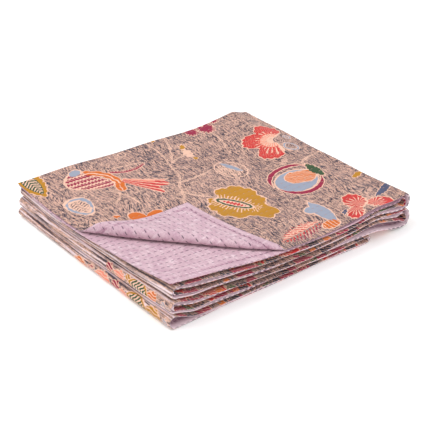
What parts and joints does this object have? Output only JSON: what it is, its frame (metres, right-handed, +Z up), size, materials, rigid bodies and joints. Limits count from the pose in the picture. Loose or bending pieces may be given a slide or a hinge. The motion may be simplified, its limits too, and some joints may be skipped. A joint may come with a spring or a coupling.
{
  "type": "folded kantha quilt",
  "caption": "Folded stitched two-cloth quilt, printed on one side and plain on the other, with one corner of the top sheet turned back.",
  "frame": {"origin": "centre of the bounding box's base, where the quilt rests", "axes": "+X from the left folds and free ends to the right folds, +Y from the near edge with the turned-back corner to the far edge, +Z up"},
  "size_m": [0.5638, 0.4954, 0.088],
  "materials": {
    "face_cloth": "printed cotton, matt, ground grey-brown",
    "back_cloth": "plain cotton, matt, lilac pink"
  },
  "bodies": {
    "root": {"face_cloth": "face_cloth", "back_cloth": "back_cloth"}
  },
  "joints": []
}
